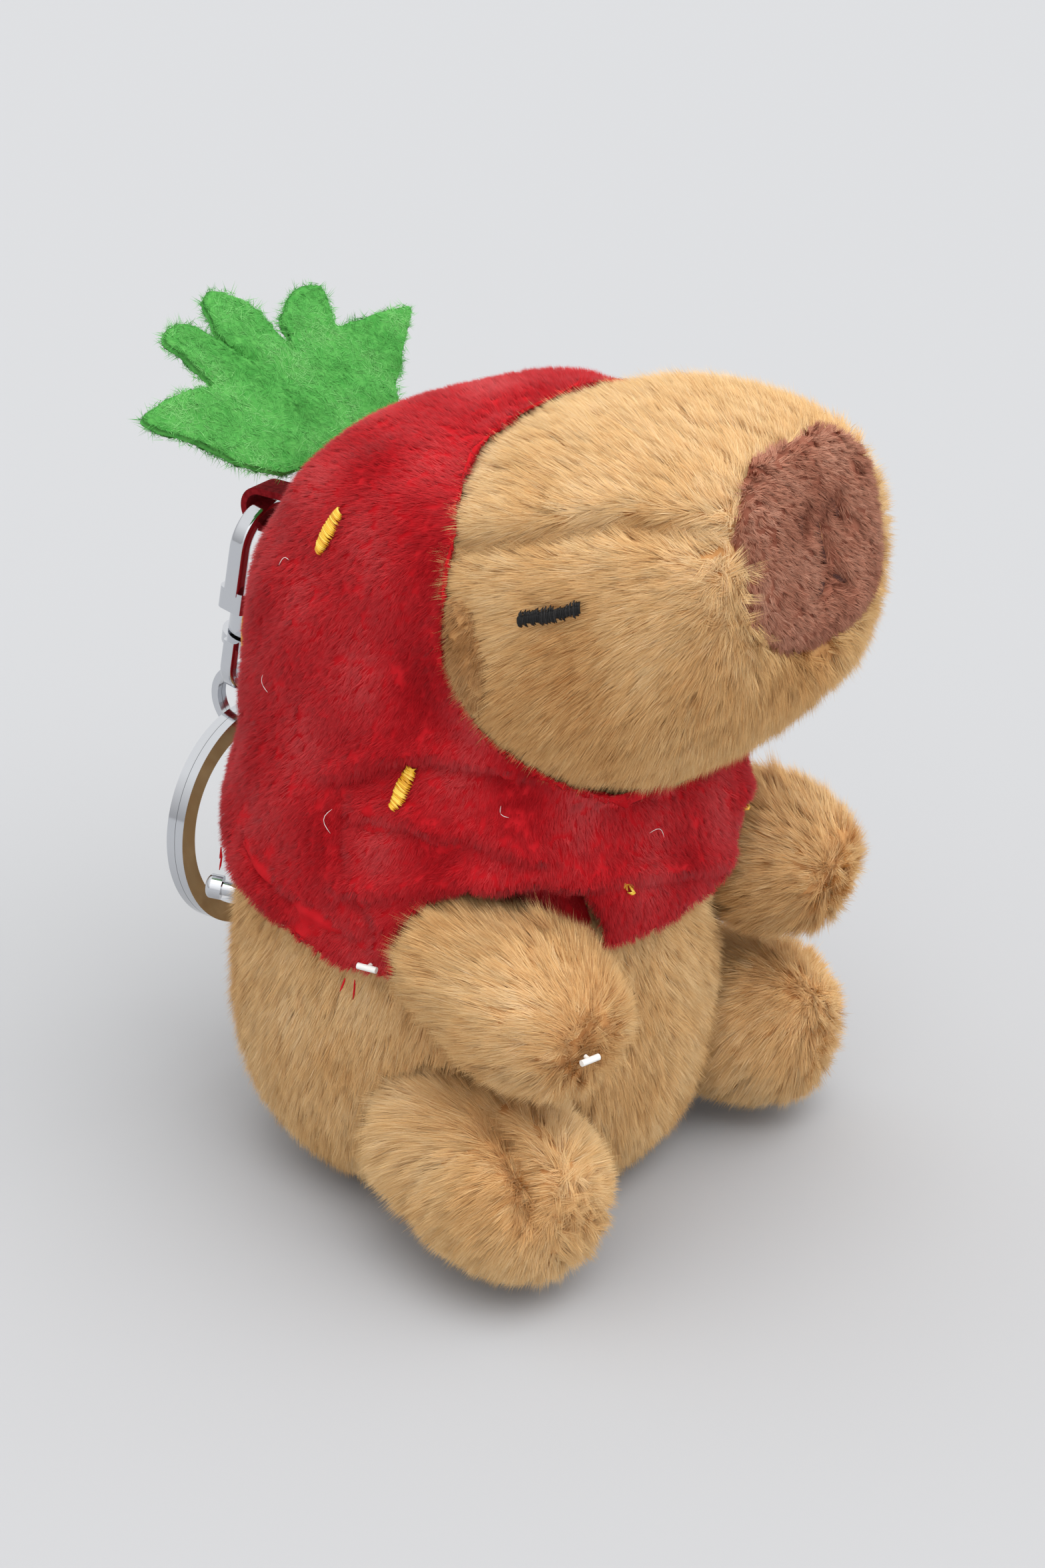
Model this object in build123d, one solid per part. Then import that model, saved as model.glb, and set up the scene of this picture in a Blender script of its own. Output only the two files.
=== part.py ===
from build123d import *
import os
from math import cos, radians, sin

# Plush animal keychain in a hooded strawberry cape, with clasp and split ring.
# Millimetres, +Z up. The animal faces -Y and its own left side is +X, so its
# right side is -X. The origin is on the ground below the middle of the body.

os.makedirs("parts", exist_ok=True)

# Covers and fillings
PILE_CLOTH = 1.4          # thickness of the tan cover cloth
GAP = 0.3                 # clearance between soft parts that move on each other
SKIN_GAP = 0.15           # clearance between layers of one body
ROOM_STEP = 0.06          # extra clearance of each further step of a limb's travel
HEAD_POWER = 2.5          # squareness of the head's cross-sections
BODY_POWER = 2.3

# Head: (y, half width, half height, middle z), back of the skull to the muzzle
HEAD_BACK = (23.5, 78.0)
HEAD_SECTIONS = [
    (21.5, 9.5, 7.5, 77.8),
    (15.0, 18.0, 14.6, 78.7),
    (2.0, 23.8, 19.4, 80.9),
    (-11.0, 25.6, 21.2, 82.7),
    (-19.0, 27.6, 23.2, 83.7),
    (-32.0, 26.8, 23.4, 84.8),
    (-43.0, 22.2, 19.0, 87.2),
    (-48.8, 15.5, 12.6, 87.2),
]
HEAD_FRONT = (-50.6, 87.0)
HEAD_MIDDLE_Y = -15.0
HEAD_HALF_LENGTH = 40.0

# Body: (z, half width, half depth, middle y), from the flat base to the neck
BODY_SECTIONS = [
    (0.0, 17.5, 18.0, 0.0),
    (4.0, 23.5, 24.5, 0.3),
    (10.0, 27.4, 28.4, 0.6),
    (19.0, 29.4, 30.4, 0.9),
    (28.5, 29.6, 30.6, 0.9),
    (38.5, 28.6, 29.4, 0.6),
    (49.5, 25.6, 26.2, 0.0),
    (59.5, 21.0, 21.0, -1.5),
    (68.5, 15.5, 15.5, -4.0),
]

# Cape and hood back: (z, half width, half depth, middle y), hem to crown
CLOAK_THICK = 2.2
NECK_SEAM = 62.0
CLOAK_SECTIONS = [
    (34.0, 31.5, 32.2, 0.4),
    (42.0, 31.2, 32.0, 0.0),
    (53.0, 30.4, 32.0, -1.4),
    (63.0, 28.8, 30.4, -1.6),
    (73.0, 28.2, 28.2, -0.4),
    (82.0, 27.2, 26.2, 0.0),
]
CLOAK_CROWN = (92.0, 16.0, 16.0, 0.0)
HEM = [(-60.0, 41.5), (-30.0, 41.0), (-3.0, 36.8), (14.0, 41.0), (30.0, 45.5), (60.0, 46.0)]
HOOD_GROW = 2.2           # hood cloth over the head
FACE_RIM_Y = -15.0        # front edge of the hood beside the face

# Limbs: root centre on the right side, direction, length beyond the root
ARM_ROOT = (-24.5, -17.5, 41.0)
ARM_DIRECTION = (-0.14, -0.96, -0.22)
ARM_LENGTH = 21.5
ARM_RADII = (9.0, 11.0)
ARM_LIFT = 20.0           # degrees
LEG_ROOT = (-24.5, -13.5, 15.4)
LEG_DIRECTION = (-0.18, -0.97, -0.15)
LEG_LENGTH = 23.0
LEG_RADII = (10.0, 12.0)
LEG_SPLAY = 12.0          # degrees

# Leaf: felt calyx of five lobes, sewn across the back of the crown
LEAF_SEAM = (0.0, 22.4, 91.6)
LEAF_TILT = 40.0          # degrees above level, pointing back
LEAF_THICK = 1.6
LEAF_ROOT_HALF = 10.0
LEAF_LOBES = [(25.0, 12.0), (13.5, 20.5), (0.0, 23.5)]
LEAF_VALLEYS = [(17.0, 12.5), (6.0, 16.0)]

# Embroidery: seeds as (inside point, direction outwards), right side
SEED_SIZE = (3.0, 6.0, 0.8)
THREAD_GAP = 0.12         # below the threads of a seed
SEEDS = [
    ((0, 4.3, 91.2), (-1, 0, 0)),
    ((0, -4, 62), (-1, -0.2, 0.05)),
    ((-6, 0, 52), (-0.2, -1, 0)),
    ((-8, 0, 69), (-0.2, 1, 0)),
]
EYE_FROM = (0, -30, 89.7)
EYE_SIZE = (7.8, 1.7, 0.7)
EYE_SLANT = 20.0          # degrees, front end up
EAR_FROM = (0, -16, 81)
EAR_SIZE = (10.0, 16.0, 2.2)
NOSTRIL = ((3.9, 96.4), (3.1, 99.2))      # (across, height) of its two ends
BRIDGE = ((0.0, 97.2), (0.0, 92.2))
MOUTH_CORNER = (3.2, 89.0)
MOUTH_START = (0.9, 90.6)
THREAD_RADIUS = 0.5
NOSE_HEIGHT = 94.4
NOSE_SIZE = (28.4, 22.6)   # across, up
NOSE_CORNER = 9.5

# Hardware: along the clasp, distances run down from the middle of the hook's crown
PIVOT = (0.0, 33.2, 80.6)     # middle of the hook's crown, in the fabric loop
CLASP_TILT = 11.0             # degrees, the clasp leans on the back of the hood
LOOP_INNER = 2.0
LOOP_CLOTH = 0.9
LOOP_WIDTH = 4.0
HOOK_RADIUS = 4.8             # middle line of the hook's crown
HOOK_ACROSS = 2.0
HOOK_THROUGH = 2.4
NOSE_END = 5.4
YOKE_TOP = 10.6
YOKE_END = 13.6
YOKE_HALF = 5.6
YOKE_DEPTH = 4.2
SLOT_WIDTH = 2.5
BARREL_RADIUS = 3.0
BARREL_END = 18.2
CHAMBER = (15.4, 16.9, 2.0)   # start, end, radius of the room for the rivet's head
GATE_PIN = (3.5, 11.9)        # across, down
GATE_PIN_RADIUS = 0.6
GATE_HUB_RADIUS = 1.4
GATE_WIDTH = 2.2
RUNNING = 0.05                # radial clearance of turning fits
RIVET_RADIUS = 1.0
PLATE_TOP = 18.5
PLATE_THICK = 1.5
SHACKLE_WIRE = 1.6
SHACKLE_DEPTH = 2.0
SHACKLE_HALF = 4.6
SHACKLE_DROP = 26.0           # pivot to the middle of the shackle's lower wire
WIRE_REACH = 1.15             # from the middle of the shackle's wire to the link ring
LINK_OUTER = 5.0
LINK_WIRE = 1.05
LINK_STRIP = 0.8
LINK_REACH = 1.05             # from the middle of the link ring's wire to the split ring
RING_OUTER = 15.0
RING_WIRE = 2.5
RING_STRIP = 1.3
TURN_GAP = 0.06               # between the two turns of a ring
STUD_FROM = (-15.0, 0.0, 33.5)
STUD_RADIUS = 1.6
STUD_STAND = 3.2          # height of the stud's rim above the body's skin
STUD_RIM = 1.4

# Tag pins: bar radius and length, stalk radius and length, then each pin's place
# as (inside point, direction outwards)
PIN_SIZE = (0.4, 2.6, 0.25, 1.2)
PIN_STAND = 0.9           # middle of the bar above the cloth
HEM_PIN = ((0, -6.5, 40.0), (-1, 0, 0))
ARM_PIN = ((-27.0, -35.0, 36.5), (-4.4, -3.6, 1.4))


def section(plane, half_x, half_y, power, count=16):
    """A closed face shaped as a superellipse on a plane."""
    points = []
    for i in range(count):
        angle = radians(360.0 * i / count)
        c, s = cos(angle), sin(angle)
        x = half_x * abs(c) ** (2.0 / power) * (1 if c >= 0 else -1)
        y = half_y * abs(s) ** (2.0 / power) * (1 if s >= 0 else -1)
        points.append(plane.from_local_coords((x, y, 0)))
    return Wire([Edge.make_spline(points, periodic=True)])


def head_form(grow=0.0):
    """The head's outer form, grown outwards by a distance."""
    rings = []
    for y, half_x, half_z, z in HEAD_SECTIONS:
        end = (y - HEAD_MIDDLE_Y) / HEAD_HALF_LENGTH
        plane = Plane((0, y + grow * end, z), x_dir=(1, 0, 0), z_dir=(0, -1, 0))
        rings.append(section(plane, half_x + grow, half_z + grow, HEAD_POWER))
    back, front = HEAD_BACK, HEAD_FRONT
    ends = [Vertex(0, back[0] + grow, back[1]), Vertex(0, front[0] - grow, front[1])]
    return Solid.make_loft([ends[0]] + rings + [ends[1]])


def body_form(grow=0.0, lift=0.0):
    """The body's outer form, grown sideways, with its base raised by lift."""
    rings = []
    for z, half_x, half_y, y in BODY_SECTIONS:
        height = z + lift if z == 0.0 else z
        plane = Plane((0, y, height), x_dir=(1, 0, 0), z_dir=(0, 0, 1))
        rings.append(section(plane, half_x + grow, half_y + grow, BODY_POWER))
    return Solid.make_loft(rings)


def cloak_form(grow=0.0):
    """The cape and the back of the hood as one closed form."""
    rings = []
    for z, half_x, half_y, y in CLOAK_SECTIONS + [CLOAK_CROWN]:
        plane = Plane((0, y, z), x_dir=(1, 0, 0), z_dir=(0, 0, 1))
        rings.append(section(plane, half_x + grow, half_y + grow, BODY_POWER))
    return Solid.make_loft(rings)


def limb_form(root_radius, full_radius, length, grow=0.0):
    """A stub limb along local +Z: a round root at the origin and a blunt tip."""
    root, full = root_radius + grow, full_radius + grow
    tip = length + grow
    profile = [
        CenterArc((0, 0), root, -90, 90),
        Spline(
            [(root, 0), (full, 0.42 * length), (0.78 * full, 0.84 * length), (0, tip)],
            tangents=[(0, 1), (-1, 0)],
        ),
        Line((0, tip), (0, -root)),
    ]
    face = Plane.XZ * make_face(profile)
    return revolve(face, Axis.Z, 360)


def limb_place(root, direction):
    """The location that puts a limb's local +Z along its direction."""
    return Plane(root, x_dir=(0, 0, 1), z_dir=direction).location


def arm_axis():
    """The level axis through the right arm's root that lifts its tip."""
    return Axis(ARM_ROOT, Vector(*ARM_DIRECTION).cross(Vector(0, 0, 1)))


def leg_axis():
    """The upright axis through the right leg's root that splays its tip."""
    return Axis(LEG_ROOT, (0, 0, -1))


def right_limb(kind, grow=0.0):
    """The right arm or leg where it sits, grown by a distance."""
    if kind == "arm":
        form = limb_form(*ARM_RADII, ARM_LENGTH, grow)
        return limb_place(ARM_ROOT, ARM_DIRECTION) * form
    form = limb_form(*LEG_RADII, LEG_LENGTH, grow)
    return limb_place(LEG_ROOT, LEG_DIRECTION) * form


def clear_limbs(form, kind):
    """A form with room cut for both limbs of a kind over their whole travel."""
    axis, turn = (arm_axis(), ARM_LIFT) if kind == "arm" else (leg_axis(), LEG_SPLAY)
    for step, share in enumerate((0.0, 0.5, 1.0)):
        grown = right_limb(kind, GAP + 0.1 + ROOM_STEP * step)
        room = grown.rotate(axis, share * turn)
        form = form - room
        form = form - mirror(room, Plane.YZ)
    return form


def hood_front_cut():
    """The space in front of the hood's rim: level rim beside the face,
    swept forwards under the chin."""
    rim = FACE_RIM_Y
    outline = Polyline(
        (rim, 130), (rim, 80), (rim - 5, 71), (rim - 13, 65), (rim - 20, NECK_SEAM),
        (rim - 20, NECK_SEAM - 10), (-90, NECK_SEAM - 10), (-90, 130), (rim, 130),
    )
    return extrude(Plane.YZ * make_face(outline), 60, both=True)


def below_hem():
    """The space below the cape's hem, which dips to a corner at each side."""
    spots = [(y, z) for y, z in HEM]
    outline = Polyline(*spots, (spots[-1][0], 0), (spots[0][0], 0), spots[0])
    return extrude(Plane.YZ * make_face(outline), 60, both=True)


def half_space(z, above):
    """A large block above or below a height."""
    centre = z + 100 if above else z - 100
    return Pos(0, 0, centre) * Box(200, 200, 200)


def leaf_face():
    """The flat outline of the leaf, seam edge at the origin, tips towards +Y."""
    side = [(LEAF_ROOT_HALF, -1.6)]
    side.append(LEAF_LOBES[0])
    side.append(LEAF_VALLEYS[0])
    side.append(LEAF_LOBES[1])
    side.append(LEAF_VALLEYS[1])
    points = side + [LEAF_LOBES[2]] + [(-x, y) for x, y in reversed(side)]
    edges = [Line(points[i], points[i + 1]) for i in range(len(points) - 1)]
    edges.append(ThreePointArc(points[-1], (0, 0.4), points[0]))
    return make_face(edges)


def spot_on(form, inside, direction):
    """The plane on a form's surface where a line from inside leaves it. Its local X
    is level and its local Y points up the surface."""
    hits = form.find_intersection_points(Axis(inside, direction))
    point = max((hit[0] for hit in hits), key=lambda q: (q - Vector(*inside)).dot(Vector(*direction)))
    normal = next(hit[1] for hit in hits if hit[0] == point)
    if normal.dot(Vector(*direction)) < 0:
        normal = -normal
    return Plane(point, x_dir=Vector(0, 0, 1).cross(normal), z_dir=normal)


def pad_on(form, inside, direction, size, turn=0.0):
    """A flattened almond of embroidery or cloth, laid on a form's surface."""
    width, length, height = size
    almond = scale(Sphere(1.0), by=(width / 2, length / 2, height))
    return (spot_on(form, inside, direction).location * Rot(0, 0, turn) * almond) - form


def split_coil(outer, wire, strip, jog=50.0):
    """A two-turn ring of flat wire about local Z, with the jog between its turns
    centred on local +X. Each turn is open over the jog."""
    pitch = strip + TURN_GAP
    inner = outer - wire
    turn = Cylinder(outer, strip, arc_size=360 - jog) - Cylinder(inner, strip + 1)
    ring = Rot(0, 0, jog / 2) * Pos(0, 0, -pitch / 2) * turn
    ring += Rot(0, 0, jog / 2) * Pos(0, 0, pitch / 2) * turn
    rings = []
    steps = 6
    for i in range(steps + 1):
        share = i / steps
        angle = jog * (share - 0.5)
        ease = share * share * (3 - 2 * share)
        z = pitch * (0.5 - ease)
        spot = Rot(0, 0, angle) * Pos((outer + inner) / 2, 0, z)
        rings.append((spot * (Plane.XZ * Rectangle(wire, strip))).wires()[0])
    return ring + Solid.make_loft(rings)


def write(name, shape):
    """Writes one node's STEP file."""
    export_step(shape, f"parts/{name}.step")


def both_sides(name, shape):
    """Writes a right-hand node and its left-hand mirror image."""
    write(name.replace("SIDE", "right"), shape)
    write(name.replace("SIDE", "left"), mirror(shape, Plane.YZ))


def stitch(a, b, radius):
    """A straight bar of thread between two points, with round ends."""
    start, end = Vector(*a), Vector(*b)
    bar = Plane((start + end) / 2, z_dir=end - start).location * Cylinder(radius, (end - start).length)
    return bar + Pos(*start) * Sphere(radius) + Pos(*end) * Sphere(radius)


def nose_thread(form, a, b):
    """A bar of thread across the front of the nose, its ends given as (x, z)."""
    ends = [spot_on(form, (x, -30, z), (0, -1, 0)).origin for x, z in (a, b)]
    return stitch(ends[0], ends[1], THREAD_RADIUS) - form


def clasp_place():
    """The location of the clasp's own frame: crown at the origin, hook hanging down."""
    return Pos(*PIVOT) * Rot(CLASP_TILT, 0, 0)


def make_clasp_frame():
    """The hook, its yoke and the swivel barrel, in the clasp's own frame."""
    r = HOOK_RADIUS
    path = Line((-r, 0, -YOKE_TOP - 0.5), (-r, 0, -r))
    path += ThreePointArc((-r, 0, -r), (0, 0, 0), (r, 0, -r))
    path += Line((r, 0, -r), (r, 0, -NOSE_END))
    start = Plane((-r, 0, -YOKE_TOP - 0.5), x_dir=(1, 0, 0), z_dir=(0, 0, 1))
    hook = sweep(start * RectangleRounded(HOOK_ACROSS, HOOK_THROUGH, 0.6), path)
    height = YOKE_END - YOKE_TOP
    yoke = Box(2 * YOKE_HALF, YOKE_DEPTH, height)
    yoke = fillet(yoke.edges().filter_by(Axis.Z), 1.0)
    yoke = Pos(0, 0, -(YOKE_TOP + YOKE_END) / 2) * yoke
    barrel_height = BARREL_END - YOKE_END + 1.0
    barrel = Cylinder(BARREL_RADIUS, barrel_height)
    barrel = Pos(0, 0, -BARREL_END + barrel_height / 2) * barrel
    slot = Pos(YOKE_HALF - 0.5, 0, -(YOKE_TOP + YOKE_END) / 2) * Box(6.4, SLOT_WIDTH, height + 1)
    chamber_top, chamber_end, chamber_radius = CHAMBER
    chamber = Cylinder(chamber_radius, chamber_end - chamber_top)
    chamber = Pos(0, 0, -(chamber_top + chamber_end) / 2) * chamber
    mouth = Pos(0, 0, -BARREL_END) * Cylinder(RIVET_RADIUS + RUNNING, 4)
    pin_hole = Pos(GATE_PIN[0], 0, -GATE_PIN[1]) * Rot(90, 0, 0) * Cylinder(GATE_PIN_RADIUS, 6)
    return hook + yoke + barrel - slot - chamber - mouth - pin_hole


def make_gate():
    """The sprung lever that closes the hook, with its thumb tab."""
    x, down = GATE_PIN
    hub_width = GATE_WIDTH / 2 + 0.2
    hub = Pos(x, 0.2 - hub_width / 2, -down) * Rot(90, 0, 0) * Cylinder(GATE_HUB_RADIUS, hub_width)
    neck = Pos(x + 0.35, 0.2 - hub_width / 2, -down + 1.5) * Box(1.9, hub_width, 2.4)
    outline = Polyline(
        (x - 0.6, -down + 1.7), (x + 0.3, -NOSE_END - 0.4), (x + 2.0, -NOSE_END - 0.4),
        (x + 2.3, -9.0), (x + 3.1, -9.4), (x + 3.1, -10.2), (x + 1.3, -down + 1.7),
        (x - 0.6, -down + 1.7),
    )
    lever = extrude(Plane.XZ * make_face(outline), GATE_WIDTH / 2, both=True)
    hole = Pos(x, 0, -down) * Rot(90, 0, 0) * Cylinder(GATE_PIN_RADIUS + RUNNING, 6)
    return hub + neck + lever - hole


def make_gate_spring():
    """The torsion coil round the gate's pin, beside its hub."""
    coil = Helix(pitch=0.3, height=0.6, radius=1.0)
    wire = Plane(coil @ 0, z_dir=coil % 0) * Circle(0.13)
    spring = sweep(wire, coil, is_frenet=True)
    return Pos(GATE_PIN[0], 1.0, -GATE_PIN[1]) * Rot(90, 0, 0) * spring


def make_rivet():
    """The swivel rivet: head in the barrel, shank through the shackle's plate."""
    top, end = CHAMBER[0] + 0.3, CHAMBER[1] - 0.15
    head = Pos(0, 0, -(top + end) / 2) * Cylinder(CHAMBER[2] - 0.25, end - top)
    foot = PLATE_TOP + PLATE_THICK
    shank = Pos(0, 0, -(end + foot) / 2) * Cylinder(RIVET_RADIUS, foot - end)
    peened = Pos(0, 0, -foot - 0.3) * Cylinder(1.5, 0.6)
    return head + shank + peened


def make_shackle():
    """The D-shaped strap below the swivel, with its round plate."""
    outer, inner = SHACKLE_HALF, SHACKLE_HALF - SHACKLE_WIRE
    middle = SHACKLE_DROP + SHACKLE_WIRE / 2 - outer
    foot = PLATE_TOP + PLATE_THICK

    def outline(half, top):
        edges = Line((-half, -middle), (-half, -top)) + Line((-half, -top), (half, -top))
        edges += Line((half, -top), (half, -middle))
        edges += ThreePointArc((half, -middle), (0, -middle - half), (-half, -middle))
        return Plane.XZ * make_face(edges)

    strap = extrude(outline(outer, PLATE_TOP), SHACKLE_DEPTH / 2, both=True)
    strap -= extrude(outline(inner, foot), SHACKLE_DEPTH, both=True)
    rims = strap.edges().filter_by(GeomType.CIRCLE)
    strap = fillet(rims, 0.5)
    plate = Pos(0, 0, -PLATE_TOP - PLATE_THICK / 2) * Cylinder(3.7, PLATE_THICK)
    return strap + plate - Pos(0, 0, -PLATE_TOP) * Cylinder(RIVET_RADIUS, 8)


# Head and face
head = head_form()
head_core = head_form(-PILE_CLOTH)
write("head_filling", head_core)
write("head_cover", head - head_core)

nose_form = head_form(1.0)
nose_face = Pos(0, NOSE_HEIGHT) * RectangleRounded(*NOSE_SIZE, NOSE_CORNER)
nose_block = extrude(Plane.XZ.offset(30) * nose_face, 40)
nose = (nose_form & nose_block) - head_form(0.1)
write("nose_patch", nose.solids().sort_by(SortBy.VOLUME)[-1])
thread_form = head_form(1.05)
threads = [nose_thread(thread_form, *BRIDGE)]
for side in (-1, 1):
    low, high = [(side * x, z) for x, z in NOSTRIL]
    threads.append(nose_thread(thread_form, low, high))
    start, end = [(side * x, z) for x, z in (MOUTH_START, MOUTH_CORNER)]
    threads.append(nose_thread(thread_form, start, end))
write("nose_stitching", Compound(threads))
eye = pad_on(head, EYE_FROM, (-1, 0, 0), EYE_SIZE, EYE_SLANT) - mirror(head, Plane.YZ)
both_sides("eye_stitch_SIDE", eye)
ear = pad_on(head, EAR_FROM, (-1, 0, 0), EAR_SIZE) - mirror(head, Plane.YZ)
both_sides("ear_SIDE", ear & (Pos(0, -GAP, GAP) * hood_front_cut()))

# Body
core = body_form(-PILE_CLOTH, PILE_CLOTH) - head_form(PILE_CLOTH)
cover = (body_form() - head_form(0.05)) - core
write("body_filling", clear_limbs(clear_limbs(core, "arm"), "leg"))
write("body_cover", clear_limbs(clear_limbs(cover, "arm"), "leg"))

# Arms and legs
for kind in ("arm", "leg"):
    limb = right_limb(kind)
    limb_core = right_limb(kind, -PILE_CLOTH)
    both_sides(f"{kind}_SIDE_filling", limb_core)
    both_sides(f"{kind}_SIDE_cover", limb - limb_core)

# Hood and cape
cloak = cloak_form()
hood = (head_form(HOOD_GROW) + cloak) - hood_front_cut()
hood = hood - half_space(NECK_SEAM, above=False)
hood = hood - head_form(SKIN_GAP) - body_form(SKIN_GAP)
write("hood", hood)
cape = cloak - cloak_form(-CLOAK_THICK)
cape = cape - half_space(NECK_SEAM, above=True) - below_hem()
cape = clear_limbs(cape - body_form(SKIN_GAP) - head_form(SKIN_GAP), "arm")
write("cape", cape)

seeds = []
seeds_on_cloak = cloak_form(THREAD_GAP)
seed_forms = [head_form(HOOD_GROW + THREAD_GAP)] + 3 * [seeds_on_cloak]
for form, (inside, direction) in zip(seed_forms, SEEDS):
    seed = pad_on(form, inside, direction, SEED_SIZE)
    seeds += [seed, mirror(seed, Plane.YZ)]
write("seed_stitches", Compound(seeds))

leaf_plane = Plane(
    LEAF_SEAM, x_dir=(1, 0, 0),
    z_dir=(0, -sin(radians(LEAF_TILT)), cos(radians(LEAF_TILT))),
)
leaf = leaf_plane.location * extrude(leaf_face(), LEAF_THICK / 2, both=True)
write("leaf", leaf - head_form(HOOD_GROW + 0.4))

# Fabric loop, sewn into the back of the hood
loop_outer = LOOP_INNER + LOOP_CLOTH
band = Rot(0, 90, 0) * Cylinder(loop_outer, LOOP_WIDTH)
band += Pos(0, -6, 0) * Box(LOOP_WIDTH, 12, 2 * loop_outer)
hole = Rot(0, 90, 0) * Cylinder(LOOP_INNER, 10) + Pos(0, -6, 0) * Box(10, 12, 2 * LOOP_INNER)
loop = Pos(*PIVOT) * (band - hole)
write("hang_loop", loop - cloak_form(0.02) - head_form(HOOD_GROW + 0.02))

# Nylon tag pins and the stud on the back
bar_radius, bar_length, stalk_radius, stalk_length = PIN_SIZE
pin = Rot(0, 90, 0) * Cylinder(bar_radius, bar_length)
pin += Pos(0, 0, -stalk_length / 2) * Cylinder(stalk_radius, stalk_length)
pin = Pos(0, 0, PIN_STAND) * pin
write("tag_pin_hem", (spot_on(cloak, *HEM_PIN).location * pin) - cloak)
arm_form = right_limb("arm")
write("tag_pin_arm", (spot_on(arm_form, *ARM_PIN).location * pin) - arm_form)
stud_spot = spot_on(body_form(), STUD_FROM, (0, 1, 0))
stud = Pos(0, 0, STUD_STAND / 2) * Cylinder(0.6 * STUD_RADIUS, STUD_STAND + 1)
stud += Pos(0, 0, STUD_STAND - STUD_RIM / 2) * Cylinder(STUD_RADIUS, STUD_RIM)
stud += Pos(0, 0, STUD_STAND) * scale(Sphere(STUD_RADIUS), by=(1, 1, 0.5))
write("back_stud", (stud_spot.location * stud) - body_form(0.02))

# Clasp, swivel and rings
place = clasp_place()
pin_body = Pos(GATE_PIN[0], 0, -GATE_PIN[1]) * Rot(90, 0, 0) * Cylinder(GATE_PIN_RADIUS, YOKE_DEPTH)
write("clasp_frame", place * make_clasp_frame())
write("clasp_gate", place * make_gate())
write("gate_pin", place * pin_body)
write("gate_spring", place * make_gate_spring())
write("swivel_rivet", place * make_rivet())
write("swivel_shackle", place * make_shackle())

shackle_wire = (place * Pos(0, 0, -SHACKLE_DROP)).position
link_inner = LINK_OUTER - LINK_WIRE
link_middle = shackle_wire - Vector(0, 0, link_inner - WIRE_REACH)
link_plane = Plane(link_middle, x_dir=(0, -1, 0), z_dir=(1, 0, 0))
write("link_ring", link_plane.location * split_coil(LINK_OUTER, LINK_WIRE, LINK_STRIP))
link_wire = link_middle - Vector(0, 0, link_inner + LINK_WIRE / 2)
ring_middle = link_wire - Vector(0, 0, RING_OUTER - RING_WIRE - LINK_REACH)
ring_plane = Plane(ring_middle, x_dir=(1, 0, 0), z_dir=(0, -1, 0))
write("split_ring", ring_plane.location * split_coil(RING_OUTER, RING_WIRE, RING_STRIP, 30.0))
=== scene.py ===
"""Looks of the plush animal keychain: pile, felt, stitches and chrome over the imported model.

Lengths in this script are millimetres in the frame's axes, turned into metres when a mesh
is made. The animal faces -Y, its right side is -X and it sits on the ground at Z = 0.
"""

import bpy
import numpy as np
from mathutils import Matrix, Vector, geometry
from mathutils.bvhtree import BVHTree


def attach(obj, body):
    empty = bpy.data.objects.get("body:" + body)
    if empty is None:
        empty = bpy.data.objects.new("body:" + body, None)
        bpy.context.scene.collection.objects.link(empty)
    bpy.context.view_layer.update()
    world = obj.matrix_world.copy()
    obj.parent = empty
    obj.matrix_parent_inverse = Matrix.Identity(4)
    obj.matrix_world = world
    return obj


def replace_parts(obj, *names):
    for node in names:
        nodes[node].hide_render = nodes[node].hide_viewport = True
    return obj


MM = 0.001
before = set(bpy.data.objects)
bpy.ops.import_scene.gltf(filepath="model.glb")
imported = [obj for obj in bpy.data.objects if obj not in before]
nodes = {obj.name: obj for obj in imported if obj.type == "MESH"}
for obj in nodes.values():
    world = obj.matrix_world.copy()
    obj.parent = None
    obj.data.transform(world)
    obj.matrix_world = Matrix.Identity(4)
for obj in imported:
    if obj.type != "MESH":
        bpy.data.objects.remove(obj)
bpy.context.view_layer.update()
rng = np.random.default_rng(20417)
THIN = 1.0


# ---------------------------------------------------------------- materials

def srgb(red, green, blue):
    """Linear colour of an sRGB colour given in 0 to 255."""
    c = np.array([red, green, blue]) / 255.0
    return tuple(np.where(c <= 0.04045, c / 12.92, ((c + 0.055) / 1.055) ** 2.4))


def plain(name, colour, rough=0.8, metal=0.0, specular=0.2, sheen=0.0):
    """A material of one colour."""
    made = bpy.data.materials.new(name)
    made.use_nodes = True
    shader = made.node_tree.nodes["Principled BSDF"]
    shader.inputs["Base Color"].default_value = (*colour, 1.0)
    shader.inputs["Roughness"].default_value = rough
    shader.inputs["Metallic"].default_value = metal
    shader.inputs["Specular IOR Level"].default_value = specular
    shader.inputs["Sheen Weight"].default_value = sheen
    shader.inputs["Sheen Roughness"].default_value = 0.5
    return made


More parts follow.
